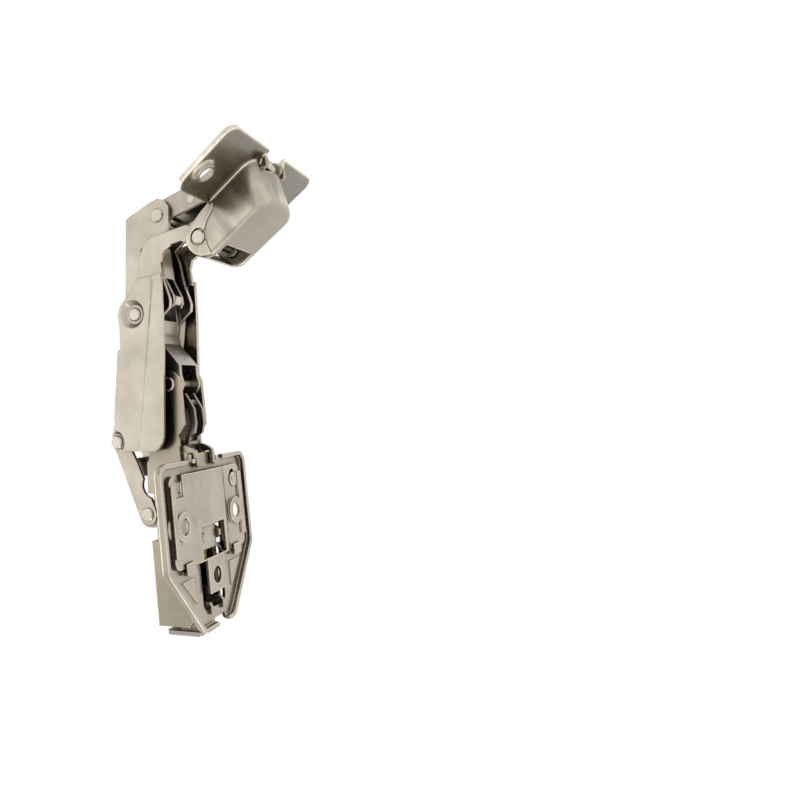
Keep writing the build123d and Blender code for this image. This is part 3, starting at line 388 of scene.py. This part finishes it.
for name, node in nodes.items():
    for material_slot in node.material_slots:
        material_slot.material = own_finish.get(name, finishes[slot_of[name]])


# ---------------------------------------------------------------- helpers for added pieces
def add_object(name, data, place=None):
    """A new object of the scene, at the origin unless a place is given."""
    made = bpy.data.objects.new(name, data)
    bpy.context.collection.objects.link(made)
    if place is not None:
        made.matrix_world = place
    return made


def dress(piece, name, finish, body):
    """Gives an added piece its finish and ties it to the body that it moves with."""
    piece.name = name
    piece.data.materials.append(own_finish.get(body, finishes[finish]))
    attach(piece, body)


def polar(centre, radius, turn):
    return centre[0] + radius * math.cos(turn), centre[1] + radius * math.sin(turn)


def ring_of(centre, radius, count=32):
    return [polar(centre, radius, 2 * math.pi * step / count) for step in range(count)]


def disc(radius, count, thickness, rounding, place):
    """A flat round piece with rounded edges, all in millimetres."""
    curve = bpy.data.curves.new("outline", "CURVE")
    curve.dimensions = "2D"
    curve.fill_mode = "BOTH"
    curve.extrude = (thickness / 2 - rounding) * MM
    curve.bevel_depth = rounding * MM
    curve.bevel_resolution = 2
    curve.offset = -rounding * MM
    loop = ring_of((0, 0), radius, count)
    spline = curve.splines.new("POLY")
    spline.points.add(len(loop) - 1)
    for point, (across, up) in zip(spline.points, loop):
        point.co = (across * MM, up * MM, 0, 1)
    spline.use_cyclic_u = True
    return add_object("piece", curve, place)


def prisms(name, shapes):
    """One mesh of upright prisms, each given in millimetres as an outline, its bottom and its top."""
    spots = []
    faces = []
    for loop, bottom, top in shapes:
        first = len(spots)
        count = len(loop)
        spots += [Vector((x, y, z)) * MM for z in (bottom, top) for x, y in loop]
        faces.append([first + step for step in reversed(range(count))])
        faces.append([first + count + step for step in range(count)])
        for step in range(count):
            after = (step + 1) % count
            faces.append((first + step, first + after, first + count + after, first + count + step))
    mesh = bpy.data.meshes.new(name)
    mesh.from_pydata(spots, [], faces)
    return mesh


def cut_from(piece, cuts):
    """Cuts prisms, given in the piece's own frame, out of it."""
    cutter = add_object("cutter", prisms("cutter", cuts), piece.matrix_world.copy())
    cut = piece.modifiers.new("openings", "BOOLEAN")
    cut.operation = "DIFFERENCE"
    cut.solver = "EXACT"
    cut.object = cutter
    bpy.context.view_layer.update()
    evaluated = piece.evaluated_get(bpy.context.evaluated_depsgraph_get())
    shaped = bpy.data.meshes.new_from_object(evaluated)
    piece.modifiers.clear()
    piece.data = shaped
    bpy.data.objects.remove(cutter)


# ---------------------------------------------------------------- cup ears
# The middle of the front edge of the cup's flange, in millimetres.
FLANGE_FRONT = Vector((92.1, 0, -14.4))
ALONG_FLANGE = Vector((0.525, 0, -0.851)).normalized()
OUT_OF_MOUTH = Vector(CUP_MOUTH).normalized()

# Outline of an ear from the flange's front edge: along the flange and out of the mouth.
EAR_OUTLINE = [
    (0.9, -0.3),
    (-3.0, -0.6),
    (-5.6, -1.0),
    (-8.4, -1.5),
    (-10.4, -2.5),
    (-11.9, -4.2),
    (-12.6, -6.6),
    (-12.2, -8.9),
    (-11.1, -10.8),
    (-9.4, -12.0),
    (-8.0, -12.4),
    (-7.4, -9.4),
    (-5.7, -5.6),
    (-3.4, -4.0),
    (0.6, -2.6),
    (1.4, -1.4),
]
EAR_FROM_MIDDLE = 10.6
EAR_THICKNESS = 1.4
EAR_HOLE = (-8.23, -5.73)
EAR_HOLE_RADIUS = 2.6
CUT_BEYOND = 0.5


def side_plane(side):
    """The plane of a cup side wall, with local x along the flange and local y out of the mouth."""
    turn = Matrix((ALONG_FLANGE, OUT_OF_MOUTH, Vector((0, -1, 0)))).transposed().to_4x4()
    return Matrix.Translation((FLANGE_FRONT + Vector((0, side, 0))) * MM) @ turn


# Plates that thicken the cup's side walls round its pin, with a hole that the pin runs clear in.
half_ear = EAR_THICKNESS / 2
half_cut = half_ear + CUT_BEYOND
for word, side in (("left", 1), ("right", -1)):
    plate = add_object(
        "ear", prisms("ear", [(EAR_OUTLINE, -half_ear, half_ear)]), side_plane(side * EAR_FROM_MIDDLE)
    )
    cut_from(plate, [(ring_of(EAR_HOLE, EAR_HOLE_RADIUS), -half_cut, half_cut)])
    dress(plate, f"cup_ear_{word}", "nickel_plating", "cup")

# ---------------------------------------------------------------- cam end and punch marks
# The riveted end of the height cam, on the cabinet side.
CAM_END_CENTRE = Vector((9.868, 16.7, 0.6))
cam_end = disc(
    radius=2.3,
    count=32,
    thickness=0.3,
    rounding=0.12,
    place=Matrix.Translation(CAM_END_CENTRE * MM),
)
dress(cam_end, "height_cam_end", "pin_steel", "height_cam")

# Two dark discs on the sloping web of the inner arm's bracket, found from below: painted shade that stands
# for the dents of two punch marks.
MARKS_FORWARD = (49.1, 52.5)
MARK_SIDE = 0.7
BELOW_BRACKET = -30.0
MARK_PROUD = 0.01
UP = Vector((0, 0, 1))
bracket = nodes["inner_arm_bracket"]
for number, forward in enumerate(MARKS_FORWARD, 1):
    found, spot, facing, _ = bracket.ray_cast(Vector((forward, MARK_SIDE, BELOW_BRACKET)) * MM, UP)
    if not found:
        raise RuntimeError("the bracket's web isn't where its punch marks go")
    turn = facing.to_track_quat("Z", "Y").to_matrix().to_4x4()
    mark = disc(
        radius=0.45,
        count=16,
        thickness=0.12,
        rounding=0.05,
        place=Matrix.Translation(spot + facing * MARK_PROUD * MM) @ turn,
    )
    dress(mark, f"bracket_mark_{number}", "spring_steel", "inner_arm")


# ---------------------------------------------------------------- plates with more openings
def block(low, high, bottom, top):
    return [(low[0], low[1]), (high[0], low[1]), (high[0], high[1]), (low[0], high[1])], bottom, top


def star(centre, tip, valley, points, bottom, top):
    loop = []
    for step in range(2 * points):
        radius = valley if step % 2 else tip
        loop.append(polar(centre, radius, math.pi * step / points))
    return loop, bottom, top


def opened(node, body, cuts):
    """Shows a copy of a CAD node with openings cut through it in the node's place."""
    piece = add_object(f"{node.name}_opened", node.data.copy(), node.matrix_world.copy())
    cut_from(piece, cuts)
    piece.data.materials.clear()
    piece.data.materials.append(own_finish[node.name])
    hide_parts(node.name)
    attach(piece, body)


# The mounting plate's rim is open at its rear end, and it has a star-shaped hole across from the
# height cam, over an upright slot in the lower plate. All in millimetres.
RIM_OPENING = block(low=(-34.0, -1.2), high=(-29.4, 5.6), bottom=-1.0, top=4.4)
STAR_HOLE = star(centre=(10.4, -15.7), tip=2.8, valley=2.1, points=7, bottom=-0.6, top=4.6)
UPRIGHT_SLOT = block(low=(8.2, -18.9), high=(14.6, -14.2), bottom=-1.0, top=2.3)
opened(nodes["upper_plate"], "mount_plate", [RIM_OPENING, STAR_HOLE])
opened(nodes["lower_plate"], "lower_plate", [UPRIGHT_SLOT])

# ---------------------------------------------------------------- camera
# Looks up at the cabinet side of the plate, as the photograph does. It was fitted to the plate's
# outline and to its two screw holes, 32 mm apart.
CAMERA_RIGHT = Vector((-0.0944, 0.5091, -0.8555))
CAMERA_DOWN = Vector((-0.9916, 0.028, 0.1261))
CAMERA_FORWARD = Vector((0.0882, 0.8602, 0.5022))
CAMERA_PLACE = Vector((28.9, -183.3, -103.9)) * MM
camera_data = bpy.data.cameras.new("camera")
camera_data.sensor_width = 36.0
camera_data.lens = 30.77
camera_data.shift_x = 0.2635
camera_data.shift_y = -0.0462
camera_data.clip_start = 0.005
camera_data.clip_end = 20
camera_turn = Matrix((CAMERA_RIGHT, -CAMERA_DOWN, -CAMERA_FORWARD)).transposed().to_4x4()
camera = add_object("camera", camera_data, Matrix.Translation(CAMERA_PLACE) @ camera_turn)
bpy.context.scene.camera = camera

# ---------------------------------------------------------------- floor, lights and background
WHITE = (1.0, 1.0, 1.0, 1.0)
PALE = (0.80, 0.80, 0.79, 1.0)
FLOOR_HALF = 4.0
FLOOR_LEVEL = -0.15
FLOOR_ROUGHNESS = 0.8
FLOOR_GLOW = 0.62
WORLD_SHOWN = 1.0
WORLD_AMBIENT = 0.6
LAMPS_AIM = Vector((0.035, 0.0, 0.0))


def background_rays(tree):
    """1 for the rays that see the white background: camera, glossy and transmission rays."""
    paths = tree.nodes.new("ShaderNodeLightPath")
    total = paths.outputs["Is Camera Ray"]
    for kind in ("Is Glossy Ray", "Is Transmission Ray"):
        total = math_node(tree, "MAXIMUM", total, paths.outputs[kind])
    return total


def chosen_by_ray(tree, lighting, seen):
    """The seen shader for the rays that see the background, and the lighting one for the others."""
    choice = tree.nodes.new("ShaderNodeMixShader")
    tree.links.new(background_rays(tree), choice.inputs["Fac"])
    tree.links.new(lighting.outputs[0], choice.inputs[1])
    tree.links.new(seen.outputs[0], choice.inputs[2])
    return choice.outputs[0]


def glowing(tree, kind, strength):
    """An emission or a background shader that glows white."""
    node = tree.nodes.new(kind)
    node.inputs["Color"].default_value = WHITE
    node.inputs["Strength"].default_value = strength
    return node


def pale_floor():
    half = FLOOR_HALF
    corners = [(x, y, FLOOR_LEVEL) for x, y in ((-half, -half), (half, -half), (half, half), (-half, half))]
    mesh = bpy.data.meshes.new("floor")
    mesh.from_pydata(corners, [], [(0, 1, 2, 3)])
    material, tree, shader = new_material("floor")
    shader.inputs["Base Color"].default_value = PALE
    shader.inputs["Roughness"].default_value = FLOOR_ROUGHNESS
    dark = glowing(tree, "ShaderNodeEmission", 0.0)
    glow = glowing(tree, "ShaderNodeEmission", FLOOR_GLOW)
    both = tree.nodes.new("ShaderNodeAddShader")
    tree.links.new(shader.outputs["BSDF"], both.inputs[0])
    tree.links.new(chosen_by_ray(tree, dark, glow), both.inputs[1])
    tree.links.new(both.outputs[0], tree.nodes["Material Output"].inputs["Surface"])
    mesh.materials.append(material)
    return add_object("floor", mesh)


def soft_box(name, place, size, power):
    """A large square lamp aimed at the object."""
    data = bpy.data.lights.new(name, "AREA")
    data.shape = "SQUARE"
    data.size = size
    data.energy = power
    lamp = add_object(name, data)
    lamp.location = place
    lamp.rotation_euler = (LAMPS_AIM - Vector(place)).to_track_quat("-Z", "Y").to_euler()


def white_world():
    world = bpy.data.worlds.new("world")
    bpy.context.scene.world = world
    world.use_nodes = True
    tree = world.node_tree
    tree.nodes.clear()
    output = tree.nodes.new("ShaderNodeOutputWorld")
    ambient = glowing(tree, "ShaderNodeBackground", WORLD_AMBIENT)
    shown = glowing(tree, "ShaderNodeBackground", WORLD_SHOWN)
    tree.links.new(chosen_by_ray(tree, ambient, shown), output.inputs["Surface"])


pale_floor()
soft_box("key", place=(0.12, -0.60, 0.38), size=0.50, power=0.42)
soft_box("fill", place=(-0.50, -0.10, -0.12), size=0.30, power=0.7)
soft_box("top", place=(0.0, 0.1, 0.7), size=0.6, power=2.0)
white_world()

bpy.context.scene.view_settings.view_transform = "Standard"
